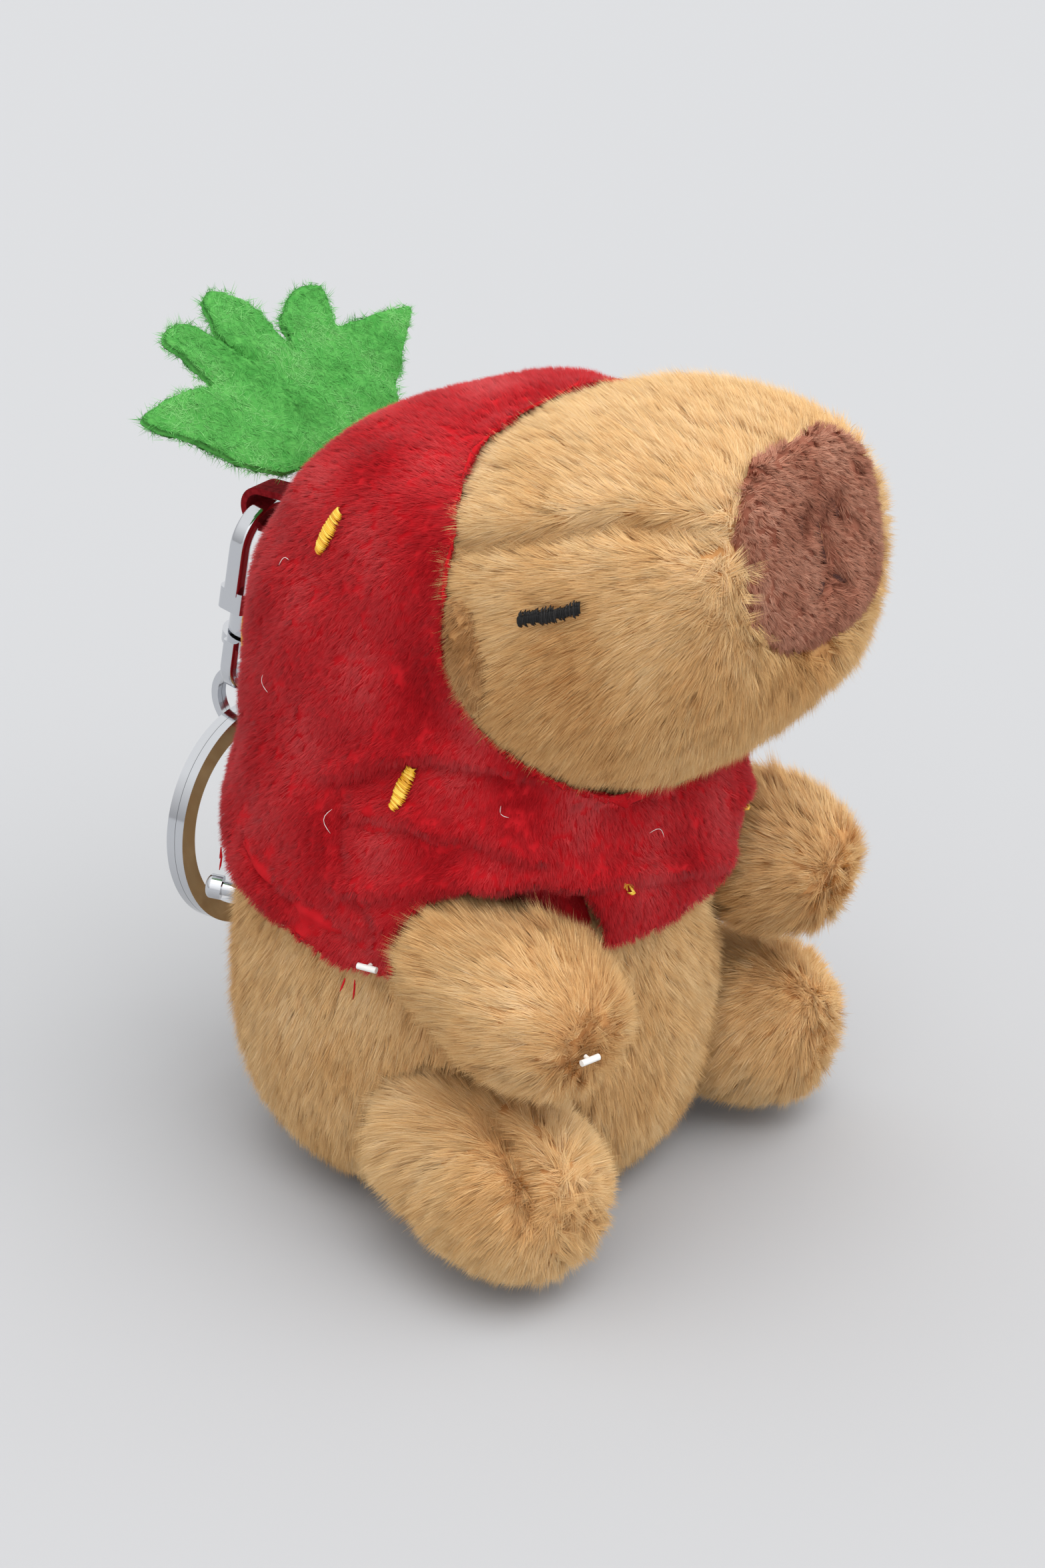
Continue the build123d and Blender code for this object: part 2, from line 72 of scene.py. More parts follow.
def mottled(name, dark, light, size, rough=0.9, bump=0.3):
    """A cloth material whose colour wanders between two, with a fine grain."""
    made = plain(name, light, rough, specular=0.1)
    tree = made.node_tree
    shader = tree.nodes["Principled BSDF"]
    place = tree.nodes.new("ShaderNodeTexCoord")
    noise = tree.nodes.new("ShaderNodeTexNoise")
    noise.inputs["Scale"].default_value = 1.0 / (size * MM)
    noise.inputs["Detail"].default_value = 4.0
    ramp = tree.nodes.new("ShaderNodeValToRGB")
    ramp.color_ramp.elements[0].position = 0.35
    ramp.color_ramp.elements[0].color = (*dark, 1.0)
    ramp.color_ramp.elements[1].position = 0.65
    ramp.color_ramp.elements[1].color = (*light, 1.0)
    grain = tree.nodes.new("ShaderNodeBump")
    grain.inputs["Strength"].default_value = bump
    grain.inputs["Distance"].default_value = 0.3 * MM
    tree.links.new(place.outputs["Object"], noise.inputs["Vector"])
    tree.links.new(noise.outputs["Fac"], ramp.inputs["Fac"])
    tree.links.new(ramp.outputs["Color"], shader.inputs["Base Color"])
    tree.links.new(noise.outputs["Fac"], grain.inputs["Height"])
    tree.links.new(grain.outputs["Normal"], shader.inputs["Normal"])
    return made


def shades(name, colours, **look):
    """One strand material for each colour, dark to light."""
    return [plain(f"{name}_{i}", srgb(*c), **look) for i, c in enumerate(colours)]


TAN = shades("tan_strand", [
    (190, 132, 76), (220, 168, 108), (234, 188, 128), (243, 204, 148), (250, 217, 168),
], rough=0.8, specular=0.1)
BROWN = shades("brown_strand", [
    (128, 74, 58), (170, 110, 88), (190, 132, 108), (206, 152, 128),
], rough=0.8, specular=0.1)
# Fur of the ears: darker than the head's, their own colour and painted shade under the hood's rim
EAR_TAN_AND_SHADE = shades("ear_strand_and_shade", [
    (140, 92, 50), (168, 118, 70), (192, 142, 92), (212, 166, 114),
], rough=0.8, specular=0.1)
RED = shades("red_strand", [
    (172, 14, 23), (188, 22, 31), (202, 36, 43), (209, 48, 53), (216, 68, 71),
], rough=0.75, specular=0.08, sheen=0.08)
GREEN = shades("green_fibre", [
    (72, 152, 68), (86, 168, 80), (100, 182, 92), (126, 198, 114),
], rough=0.9, specular=0.05)
YELLOW = shades("yellow_thread", [(218, 156, 28), (240, 190, 52), (250, 212, 84)],
                rough=0.35, specular=0.5)
BLACK = shades("black_thread", [(12, 11, 12), (20, 19, 19), (32, 30, 30)],
               rough=0.5, specular=0.3)
COCOA = shades("cocoa_thread", [(52, 22, 17), (70, 34, 27)], rough=0.6, specular=0.3)
TAN_SKIN = mottled("tan_backing", srgb(194, 138, 84), srgb(222, 172, 114), 2.5)
BROWN_SKIN = mottled("brown_backing", srgb(126, 72, 56), srgb(154, 98, 78), 2.0)
RED_SKIN = mottled("red_backing", srgb(182, 18, 27), srgb(202, 32, 40), 4.0)
FELT = mottled("felt", srgb(68, 148, 64), srgb(92, 170, 82), 1.1, bump=0.3)
TAPE = mottled("tape", srgb(120, 14, 22), srgb(150, 28, 36), 0.6)
NYLON = plain("nylon", srgb(236, 236, 232), 0.35, specular=0.5)
CHROME = plain("chrome", srgb(204, 206, 210), 0.11, metal=1.0, specular=0.5)
STEEL = plain("spring_steel", srgb(170, 170, 172), 0.25, metal=1.0, specular=0.5)


# ---------------------------------------------------------------- meshes

def unit(v):
    return v / np.maximum(np.linalg.norm(v, axis=-1, keepdims=True), 1e-9)


def fade(values, start, over):
    """0 up to start, then rising to 1 over a distance."""
    return np.clip((values - start) / over, 0, 1)


def distance(P, place):
    return np.linalg.norm(P - place, axis=1)


def folded(P):
    """Places with both sides of the animal laid on its left, +X, side."""
    return np.abs(P[:, :1]) * [1, 0, 0] + P * [0, 1, 1]


def build(name, V, F, materials, body, which=None, custom=None):
    """A smooth triangle mesh on a CAD body. which is each face's material."""
    mesh = bpy.data.meshes.new(name)
    V = np.asarray(V, np.float32) * MM
    F = np.asarray(F, np.int32)
    mesh.vertices.add(len(V))
    mesh.vertices.foreach_set("co", V.ravel())
    mesh.loops.add(F.size)
    mesh.loops.foreach_set("vertex_index", F.ravel())
    mesh.polygons.add(len(F))
    mesh.polygons.foreach_set("loop_start", np.arange(0, F.size, 3, dtype=np.int32))
    mesh.polygons.foreach_set("loop_total", np.full(len(F), 3, np.int32))
    for one in materials:
        mesh.materials.append(one)
    if which is not None:
        mesh.polygons.foreach_set("material_index", np.asarray(which, np.int32))
    mesh.update(calc_edges=True)
    mesh.polygons.foreach_set("use_smooth", np.ones(len(F), bool))
    if custom is not None:
        mesh.normals_split_custom_set_from_vertices(custom.tolist())
    made = bpy.data.objects.new(name, mesh)
    bpy.context.scene.collection.objects.link(made)
    if body:
        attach(made, body)
    return made


def arrays(mesh):
    """A mesh's vertices in mm and its triangles."""
    V = np.empty(len(mesh.vertices) * 3, np.float32)
    mesh.vertices.foreach_get("co", V)
    mesh.calc_loop_triangles()
    F = np.empty(len(mesh.loop_triangles) * 3, np.int32)
    mesh.loop_triangles.foreach_get("vertices", F)
    return V.reshape(-1, 3).astype(float) / MM, F.reshape(-1, 3)


def joined(names):
    """Several CAD nodes as one set of triangles."""
    parts, start = [], 0
    for name in names:
        V, F = arrays(nodes[name].data)
        parts.append((V, F + start))
        start += len(V)
    return np.vstack([p[0] for p in parts]), np.vstack([p[1] for p in parts])


def normals(V, F):
    """Area-weighted vertex normals."""
    a, b, c = V[F[:, 0]], V[F[:, 1]], V[F[:, 2]]
    face = np.cross(b - a, c - a)
    total = np.zeros_like(V)
    for corner in range(3):
        for axis in range(3):
            total[:, axis] += np.bincount(F[:, corner], face[:, axis], len(V))
    return unit(total)


def smoothed(V, F, rounds):
    """Each vertex moved part way to its neighbours' middle, several times."""
    pairs = np.vstack([F[:, [0, 1]], F[:, [1, 2]], F[:, [2, 0]]])
    pairs = np.vstack([pairs, pairs[:, ::-1]])
    count = np.maximum(np.bincount(pairs[:, 0], minlength=len(V)), 1)
    for _ in range(rounds):
        mean = [np.bincount(pairs[:, 0], V[pairs[:, 1], axis], len(V)) / count for axis in range(3)]
        V = 0.4 * V + 0.6 * np.stack(mean, 1)
    return V


def largest(V, F):
    """The island with the most vertices."""
    label = np.arange(len(V))
    while True:
        low = label[F].min(1)
        fresh = label.copy()
        np.minimum.at(fresh, F.ravel(), np.repeat(low, 3))
        fresh = fresh[fresh]
        if (fresh == label).all():
            break
        label = fresh
    keep = label == np.bincount(label).argmax()
    index = np.cumsum(keep) - 1
    return V[keep], index[F[keep[F[:, 0]]]]


def even_skin(names, voxel, rounds=8, inset=0.0):
    """The outer surface of CAD nodes as an even, softened mesh, drawn in by inset."""
    rough = build("rough", *joined(names), [], None)
    even = rough.modifiers.new("even", "REMESH")
    even.mode = "VOXEL"
    even.voxel_size = voxel * MM
    shape = rough.evaluated_get(bpy.context.evaluated_depsgraph_get())
    V, F = arrays(shape.to_mesh())
    shape.to_mesh_clear()
    bpy.data.objects.remove(rough)
    V, F = largest(V, F)
    V = smoothed(V, F, rounds)
    return V - inset * normals(V, F), F


def waves(P, size, seed):
    """Smooth wandering values, about -1 to 1, with a wavelength near size."""
    own = np.random.default_rng(seed)
    total = np.zeros(len(P))
    for _ in range(7):
        way = unit(own.normal(size=3)) * (2 * np.pi / size) * own.uniform(0.6, 1.5)
        total += np.sin(P @ way + own.uniform(0, 2 * np.pi))
    return total / 2.6


def line_distance(V, line):
    """Distance from each point to an open line, and the height of its nearest point."""
    best = np.full(len(V), 1e9)
    height = np.zeros(len(V))
    for a, b in zip(line[:-1], line[1:]):
        way = b - a
        t = np.clip(((V - a) @ way) / max(way @ way, 1e-9), 0, 1)
        near = a + t[:, None] * way
        d = np.linalg.norm(V - near, axis=1)
        closer = d < best
        best[closer] = d[closer]
        height[closer] = near[closer, 2]
    return best, height


def creased(V, F, line, depth, width, lip=0.0):
    """The surface pulled in along a line, with the cloth above it bulging over."""
    N = normals(V, F)
    line = np.array([V[np.argmin(((V - np.array(p)) ** 2).sum(1))] for p in line])
    d, height = line_distance(V, line)
    V = V - N * (depth * np.exp(-(d / width) ** 2))[:, None]
    above = np.clip((V[:, 2] - height) / width, 0, 1)
    return V + N * (lip * above * np.exp(-((d - 1.6 * width) / (1.5 * width)) ** 2))[:, None]


def mirrored(line):
    return [(-x, y, z) for x, y, z in line]


# ---------------------------------------------------------------- strands

LEAN_SPREAD = 7.0         # degrees, from tuft to tuft
STRAND_SPREAD = 0.13      # radians, from strand to strand in a tuft
TIP_SPREAD = 0.07         # share of a strand's length
TWIST_SPREAD = 0.45       # radians
TUFT_TONE = 0.6           # how much tufts differ, against the strands in one
TUFT_SHADE, STRAND_SHADE = 0.14, 0.08     # how far shading wanders from the cloth's normal
DARKEST_TONE, TONE_RANGE = -1.7, 3.0
LOWEST_TIP = 0.25         # strands stay above the ground


def roots(surface, density, keep=None):
    """Random places on a surface with their normals."""
    V, F = surface
    corners = V[F]
    area = 0.5 * np.linalg.norm(
        np.cross(corners[:, 1] - corners[:, 0], corners[:, 2] - corners[:, 0]), axis=1
    )
    count = int(area.sum() * density * THIN)
    pick = rng.choice(len(F), count, p=area / area.sum())
    u, v = rng.random((2, count))
    fold = u + v > 1
    u[fold], v[fold] = 1 - u[fold], 1 - v[fold]
    share = np.stack([1 - u - v, u, v], 1)[:, :, None]
    P = (corners[pick] * share).sum(1)
    N = unit((normals(V, F)[F[pick]] * share).sum(1))
    if keep is not None:
        mask = keep(P, N)
        P, N = P[mask], N[mask]
    return P, N


def open_to(cover, reach=5.0, lift=0.0):
    """A test for roots that a cover, CAD nodes or triangles, doesn't hide."""
    V, F = joined(cover) if isinstance(cover[0], str) else cover
    tree = BVHTree.FromPolygons(V.tolist(), F.tolist())

    def keep(P, N):
        start = P + N * lift
        return np.array([
            tree.ray_cast(Vector(p), Vector(n), reach)[0] is None for p, n in zip(start, N)
        ], bool)
    return keep


def both(*tests):
    return lambda P, N: np.all([t(P, N) for t in tests], axis=0)


def pile(name, body, P, N, D, tones, length=3.0, lean=60.0, each=30, radius=0.66, width=0.095,
         gather=0.9, wild=0.11, shade=0.25, grain=0.3, patch=14.0, seed=1, uneven=0.12, floor=None,
         painted_light=0.0):
    """Tufts of strands that start at P and lie over towards D.

    length, lean and the tone shift that paints light and shade may hold one value for each tuft. A
    strand is one narrow triangle.
    """
    count = len(P)
    n = unit(N)
    loose = rng.normal(size=(count, 3)) * wild
    d = D + loose
    d = unit(d - (d * n).sum(1, keepdims=True) * n)
    side = np.cross(n, d)
    long = np.broadcast_to(length, count) * rng.uniform(1 - uneven, 1 + uneven, count)
    angle = np.radians(lean + rng.normal(size=count) * LEAN_SPREAD)
    turn = rng.uniform(0, 2 * np.pi, (count, each))
    out = radius * np.sqrt(rng.random((count, each)))
    spread = (np.cos(turn) * out)[..., None] * d[:, None]
    spread = spread + (np.sin(turn) * out)[..., None] * side[:, None]
    own = long[:, None] * rng.uniform(0.82, 1.1, (count, each))
    lay = angle[:, None] + rng.normal(size=(count, each)) * STRAND_SPREAD

    base = P[:, None] + spread
    rise = (np.cos(lay) * own)[..., None] * n[:, None]
    run = (np.sin(lay) * own)[..., None] * d[:, None]
    tip = P[:, None] + spread * gather + rise + run
    tip = tip + rng.normal(size=tip.shape) * TIP_SPREAD * own[..., None]
    twist = rng.normal(size=(count, each, 1)) * TWIST_SPREAD
    across = np.cos(twist) * side[:, None] + np.sin(twist) * n[:, None]
    half = across * (0.5 * width * rng.uniform(0.7, 1.2, (count, each, 1)))
    tone = waves(P, patch, seed)[:, None] * shade + rng.normal(size=(count, 1)) * TUFT_TONE * grain
    # painted light and shade: the tone moved lighter or darker where the caller asks
    tone = tone + np.broadcast_to(painted_light, count)[:, None]
    tone = tone + rng.normal(size=(count, each)) * grain
    slots = len(tones)
    which = np.clip(((tone - DARKEST_TONE) / TONE_RANGE * slots).astype(int), 0, slots - 1).ravel()
    blades = count * each
    V = np.stack([base - half, base + half, tip], 2).reshape(-1, 3)
    if floor is not None:
        V[:, 2] = np.maximum(V[:, 2], floor)
    F = np.array([0, 2, 1]) + 3 * np.arange(blades)[:, None]
    soft = n[:, None] + TUFT_SHADE * rng.normal(size=(count, 1, 3))
    soft = soft + STRAND_SHADE * rng.normal(size=(count, each, 3))
    soft = unit(soft)
    return build(name, V, F, tones, body, which, np.repeat(soft.reshape(-1, 3), 3, axis=0))


def halves(name, body, P, N, D, tones, length=3.0, lean=60.0, painted_light=0.0, **look):
    """A coat as two pieces, one for each side of the animal."""
    right = P[:, 0] < 0
    length, lean, painted_light = (np.broadcast_to(a, len(P)) for a in (length, lean, painted_light))
    for label, part in (("right", right), ("left", ~right)):
        pile(f"{name}_{label}", body, P[part], N[part], D[part], tones, length=length[part],
             lean=lean[part], painted_light=painted_light[part], **look)


def tube(points, radius, sides=6):
    """Vertices and triangles of a round thread with pointed ends through points."""
    points = np.array(points, float)
    way = unit(np.gradient(points, axis=0))
    helper = np.array([0.3, 0.5, 0.81])
    a = unit(np.cross(way, helper))
    b = np.cross(way, a)
    steps = np.arange(len(points))
    size = radius * np.clip(np.minimum(steps, steps[::-1]) + 0.35, 0, 1)
    turn = np.linspace(0, 2 * np.pi, sides, endpoint=False)
    ring = np.cos(turn)[None, :, None] * a[:, None] + np.sin(turn)[None, :, None] * b[:, None]
    V = (points[:, None] + ring * size[:, None, None]).reshape(-1, 3)
    F = []
    for i in range(len(points) - 1):
        for j in range(sides):
            p, q = i * sides + j, i * sides + (j + 1) % sides
            F += [[p, q, q + sides], [p, q + sides, p + sides]]
    end = (len(points) - 1) * sides
    for j in range(1, sides - 1):
        F += [[0, j + 1, j], [end, end + j, end + j + 1]]
    return V, np.array(F)


def threads(name, body, lines, radius, tones):
    """Many threads as one piece."""
    Vs, Fs, which, start = [], [], [], 0
    for line in lines:
        V, F = tube(line, radius)
        Vs.append(V)
        Fs.append(F + start)
        which += [int(rng.integers(len(tones)))] * len(F)
        start += len(V)
    return build(name, np.vstack(Vs), np.vstack(Fs), tones, body, which)


def satin(surface, middle, along, half_length, half_width, step, rise, ragged, taper):
    """Raised threads laid side by side across a bar of embroidery on a surface."""
    V, F = surface
    tree = BVHTree.FromPolygons(V.tolist(), F.tolist())
    spot, face, _, _ = tree.find_nearest(Vector(middle))
    spot, face = np.array(spot), np.array(face)
    along = np.array(along, float)
    along = unit(along - (along @ face) * face)
    across = np.cross(face, along)
    lines = []
    for s in np.arange(-half_length, half_length + 0.01, step):
        full = half_width * (1 - taper * (abs(s) / half_length) ** 2.5)
        ends = [full * rng.uniform(1 - ragged, 1 + ragged) for _ in range(2)]
        slant = rng.uniform(0.1, 0.3) * half_width
        line = []
        for t in np.linspace(-1, 1, 7):
            flat = spot + along * (s + slant * t) + across * (t * (ends[0] if t < 0 else ends[1]))
            near, n, _, _ = tree.find_nearest(Vector(flat))
            line.append(np.array(near) + np.array(n) * (rise * (1 - t ** 4) - 0.15))
        lines.append(line)
    return lines


# ---------------------------------------------------------------- soft pieces

# Places on the cloth that seams and folds run through, on the animal's right side. They come
# from a separate projection script: report.md says how.
CHEEK_SEAM = [(-24.8, -15.9, 94.1), (-25.2, -22.8, 96.8), (-24.0, -28.9, 98.6),
              (-20.9, -35.3, 100.6), (-17.6, -44.3, 100.3)]
TOE_CLEFT = [(-30.5, -25.8, 25.9), (-31.8, -28.4, 24.6), (-34.0, -32.0, 21.4),
             (-34.9, -34.7, 16.1)]
NECK_FOLD = [(-28.8, -0.6, 61.3), (-28.5, -3.2, 62.7), (-27.6, -7.1, 64.6),
             (-26.3, -12.8, 66.5), (-24.3, -16.9, 66.3), (-23.7, -20.9, 65.7)]
CAPE_FOLDS = [
    [(-28.8, -5.1, 57.1), (-27.9, -10.6, 57.8), (-26.7, -14.2, 56.7), (-25.0, -17.4, 57.9),
     (-23.0, -20.4, 56.7), (-21.1, -22.8, 54.9)],
    [(-30.1, -4.2, 47.5), (-29.4, -8.2, 48.6), (-25.8, -17.9, 51.3), (-15.6, -27.3, 50.7),
     (-11.4, -28.7, 51.0), (-0.5, -30.8, 47.5), (8.8, -30.1, 44.3)],
]
SIDE_SEAM = [(-28.9, -0.7, 60.1), (-29.7, -0.8, 53.9), (-30.1, -4.8, 47.2),
             (-30.2, -5.9, 45.0), (-30.6, -5.0, 41.3)]
HEM_FOLD = [(-27.3, 16.1, 48.4), (-29.3, 11.2, 46.3), (-30.5, 5.6, 44.3), (-30.5, -4.4, 42.6)]
ARM_TIP = np.array([-27.5, -38.5, 36.0])
ARM_TUFT = (-24.8, -29.5, 48.0)
LEG_TIP = np.array([-28.6, -36.0, 12.0])
NOSE = np.array([0.0, -50.0, 94.4])
DOWN = np.array([0.0, 0.0, -1.0])
BACK = np.array([0.0, 1.0, 0.0])

# Places on the animal's left side, which its right side repeats.
EYE = (27.3, -30.8, 90.3)
EYE_CLEAR = 1.15          # how far the fur stays from an eye
# the middle of the painted shade on the cheek
SHADED_CHEEK = (25, -33, 82)
ARM_ROOT = (24.5, -17.5, 41.0)


def to_side(side, place):
    return np.array([place[0] * (-1 if side == "left" else 1), *place[1:]])


# Hood and cape, one garment whose two parts meet at the neck
NECK = 62.0
RIM_HEIGHTS, RIM_FRONTS = [62, 65, 71, 80], [-35, -28, -20, -15]     # the rim's Z and Y
RIM_START = (60, 4)       # where the drawing in starts, and over what height it grows
RIM_REACH = 9.0           # how far back from the rim the cloth is drawn in
CROWN = (96.0, 8.0)       # where the top of the hood starts, and its height
RIM_PRESS, CROWN_PRESS = 2.0, 0.9         # how far the rim goes in, and how much more on top
CROWN_BACK = 4.0
HEAD_AXIS = [0, 0, 84]
VELVET = {"length": 1.1, "lean": 46, "each": 11, "radius": 0.38, "width": 0.085, "shade": 0.6,
          "grain": 0.2, "patch": 15.0, "seed": 23, "wild": 0.18}
VELVET_DENSITY = 3.8
V, F = even_skin(["hood", "cape"], voxel=0.75, rounds=6, inset=0.7)
shows = open_to(["head_cover", "body_cover"], reach=3.0)(V, normals(V, F))
V = V + normals(V, F) * (0.35 * waves(V, 12.0, 21))[:, None]
rim_y = np.interp(V[:, 2], RIM_HEIGHTS, RIM_FRONTS)
to_rim = (1 - fade(V[:, 1], rim_y, RIM_REACH)) * fade(V[:, 2], *RIM_START)
top = fade(V[:, 2], *CROWN)
V = V - unit((V - HEAD_AXIS) * [1, 0, 1]) * ((RIM_PRESS + CROWN_PRESS * top) * to_rim)[:, None]
V[:, 1] += CROWN_BACK * to_rim * top
for fold in (NECK_FOLD, mirrored(NECK_FOLD)):
    V = creased(V, F, fold, depth=1.0, width=1.2, lip=1.1)
for fold in CAPE_FOLDS:
    V = creased(V, F, fold, depth=0.9, width=1.1, lip=1.1)
    V = creased(V, F, mirrored(fold)[:-2], depth=0.6, width=1.1, lip=0.8)
for seam in (SIDE_SEAM, HEM_FOLD, mirrored(SIDE_SEAM), mirrored(HEM_FOLD)):
    V = creased(V, F, seam, depth=0.8, width=0.8, lip=0.2)
garment = V, F
for name, part in (("hood", V[F].mean(1)[:, 2] > NECK), ("cape", V[F].mean(1)[:, 2] <= NECK)):
    used, faces = np.unique(F[part], return_inverse=True)
    cloth = V[used], faces.reshape(-1, 3)
    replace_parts(build(f"{name}_skin", *cloth, [RED_SKIN], "plush"), name)
    outside = shows[used][cloth[1]].any(1)
    P, N = roots((cloth[0], cloth[1][outside]), VELVET_DENSITY)
    flow = DOWN + BACK * (0.35 + 1.5 * fade(P[:, 2:], 90, 10))
    pile(f"{name}_pile", "plush", P, N, flow, RED, **VELVET)

# Head
V, F = even_skin(["head_cover"], voxel=0.9, rounds=10, inset=1.7)
for seam in (CHEEK_SEAM, mirrored(CHEEK_SEAM)):
    V = creased(V, F, seam, depth=2.0, width=1.5, lip=0.8)
head = V, F
head_skin = build("head_skin", V, F, [TAN_SKIN], "plush")
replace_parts(head_skin, "head_cover", "head_filling")

# Nose patch, sunk into the fur and more so at its edge
NOSE_SINK = 1.1
NOSE_EDGE_SINK = 1.5
nose_V, nose_F = even_skin(["nose_patch"], voxel=0.42)
nose_middle = nose_V.mean(0)
span = np.abs(nose_V - nose_middle).max(0)
outer = ((np.abs(nose_V - nose_middle) / span)[:, [0, 2]] ** 4).sum(1) ** 0.25
nose_V[:, 1] += NOSE_SINK + NOSE_EDGE_SINK * fade(outer, 0.72, 0.28) ** 2
STITCHES = [[(-3.9, 96.4), (-3.1, 99.2)], [(3.9, 96.4), (3.1, 99.2)], [(0.0, 97.2), (0.0, 92.2)],
            [(-0.9, 90.6), (-3.2, 89.0)], [(0.9, 90.6), (3.2, 89.0)]]


def on_nose(x, z):
    """The patch's front surface at a place across and a height."""
    aside = (nose_V[:, 0] - x) ** 2 + (nose_V[:, 2] - z) ** 2
    return nose_V[np.argmin(aside + (nose_V[:, 1] + 52) ** 2 * 0.2)]


stitch_lines = [[on_nose(*a), on_nose(*b)] for a, b in STITCHES]
centre = on_nose(0.0, 95.0)
dip = np.exp(-(((nose_V - centre) * [1, 0, 0.8]) ** 2).sum(1) / 5.5 ** 2)
nose_V[:, 1] += 1.2 * dip
for line in stitch_lines:
    nose_V = creased(nose_V, nose_F, line, depth=1.2, width=0.9)
nose = nose_V, nose_F
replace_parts(build("nose_skin", *nose, [BROWN_SKIN], "plush"), "nose_patch")

lines = []
for (x1, z1), (x2, z2) in STITCHES:
    for shift in (-0.22, 0.0, 0.22):
        line = []
        for t in np.linspace(0, 1, 7):
            p = on_nose(x1 + (x2 - x1) * t, z1 + (z2 - z1) * t) + np.array([shift, -0.1, 0])
            line.append(p)
        lines.append(line)
stitching = threads("nose_threads", "plush", lines, 0.2, COCOA)
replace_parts(stitching, "nose_stitching")

# Fur of the head: it lies back, stands up round the nose and is short at the seams
P, N = roots(head, 1.9, both(open_to(garment, reach=6.0), open_to(["nose_patch"], reach=2.2)))
from_nose = np.linalg.norm((P - NOSE) * [0.8, 1, 1], axis=1)
near_nose = np.exp(-np.clip(from_nose - 11, 0, None) / 3)
flow = BACK + DOWN * (0.25 + 0.75 * (1 - fade(P[:, 2], 74, 18)))[:, None]
lean = 62 - 24 * near_nose
flow = flow + rng.normal(size=P.shape) * (0.8 * near_nose)[:, None]
seam_gap = np.minimum(line_distance(P, np.array(CHEEK_SEAM))[0],
                      line_distance(P, np.array(mirrored(CHEEK_SEAM)))[0])
short = 0.5 + 0.5 * fade(seam_gap, 0, 3.0)
eyes = [np.array([s * EYE[0], *EYE[1:]]) for s in (-1, 1)]
for reach in (0.4, 1.4, 2.4):             # tufts that would lie over an eye are left out
    lands = P + unit(flow) * reach
    eye_gap = np.min([np.linalg.norm((lands - e) * [0.4, 0.3, 1], axis=1) for e in eyes], axis=0)
    P, N, flow, short, lean = (a[eye_gap > EYE_CLEAR] for a in (P, N, flow, short, lean))
# painted light: the fur is lighter towards the top of the head and darker lower down, with painted
# shade in the hollow of the cheek
from_shaded_cheek = distance(folded(P), SHADED_CHEEK)
painted_light = 0.3 * np.clip((P[:, 2] - 90) / 8, -1, 1) - 0.5 * np.exp(-(from_shaded_cheek / 10) ** 2)
halves("head_pile", "plush", P, N, flow, TAN, length=2.9 * short, lean=lean, painted_light=painted_light, seed=3)

# Fur of the nose: bare over the stitches and darker beside them, painted shade in the stitches'
# creases
P, N = roots(nose, 4.0, lambda P, N: N[:, 1] < 0.2)
stitch_gap = np.min([line_distance(P, np.array(line))[0] for line in stitch_lines], axis=0)
clear = stitch_gap > 0.5
P, N, stitch_gap = P[clear], N[clear], stitch_gap[clear]
pile("nose_pile", "plush", P, N, DOWN + np.array([0.3, 0, 0]), BROWN, length=1.1, lean=40, each=10,
     radius=0.3, width=0.1, shade=0.35, patch=8.0, seed=5, wild=0.4,
     painted_light=-1.1 * np.exp(-(stitch_gap / 1.3) ** 2))

# Eyes and ears
for side in ("right", "left"):
    m = -1 if side == "right" else 1
    lines = satin(head, (m * EYE[0], *EYE[1:]), (0, -1, 0.36), half_length=3.9, half_width=0.8,
                  step=0.22, rise=0.55, ragged=0.4, taper=0.1)
    out = np.array([m * 2.3, 0, 0.2])
    lines = [[p + out for p in line] for line in lines]
    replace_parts(threads(f"eye_threads_{side}", "plush", lines, 0.17, BLACK), f"eye_stitch_{side}")
    ear = even_skin([f"ear_{side}"], voxel=0.4, rounds=5, inset=0.2)
    ear[0][:, 0] -= 1.7 * m
    ear_obj = build(f"ear_skin_{side}", *ear, [TAN_SKIN], "plush")
    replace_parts(ear_obj, f"ear_{side}")
    P, N = roots(ear, 3.0, lambda P, N: N[:, 0] * m > -0.2)
    # the ear's darker tones hold painted shade under the hood's rim
    pile(f"ear_pile_{side}", "plush", P, N, DOWN + BACK * 0.4, EAR_TAN_AND_SHADE, length=1.5, lean=48,
         each=12, radius=0.4, width=0.1, seed=9, wild=0.2)

# Body
body = even_skin(["body_cover", "body_filling"], voxel=1.0, inset=1.6)
body[0][:, 2] = np.maximum(body[0][:, 2], 0.4)      # just above the ground
body_skin = build("body_skin", *body, [TAN_SKIN], "plush")
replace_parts(body_skin, "body_cover", "body_filling")

# Lining of the cape, over the body behind each arm
LINING_LIFT = 1.9         # above the body's skin
LINING_RADIUS = 15.0      # round the arm's root
LINING_LOWEST = 41.5
V, F = body[0] + normals(*body) * LINING_LIFT, body[1]
middle = V[F].mean(1)
behind = (distance(folded(middle), ARM_ROOT) < LINING_RADIUS) & (middle[:, 2] > LINING_LOWEST)
used, faces = np.unique(F[behind], return_inverse=True)
lining = V[used], faces.reshape(-1, 3)
build("cape_lining", *lining, [RED_SKIN], "plush")
P, N = roots(lining, VELVET_DENSITY)
pile("lining_pile", "plush", P, N, DOWN, RED, **VELVET)

# Fur of the body
limbs = [f"{kind}_{side}_cover" for kind in ("arm", "leg") for side in ("right", "left")]
P, N = roots(body, 1.8, both(
    open_to(garment, reach=1.8), open_to(lining, reach=2.5), open_to(limbs, reach=1.2),
    lambda P, N: (P[:, 2] < 60) & ((N[:, 2] > -0.8) | (P[:, 2] > 3)),
))
flow = DOWN + 0.25 * np.sign(P[:, :1]) * [1, 0, 0]
halves("body_pile", "plush", P, N, flow, TAN, seed=11, floor=LOWEST_TIP)

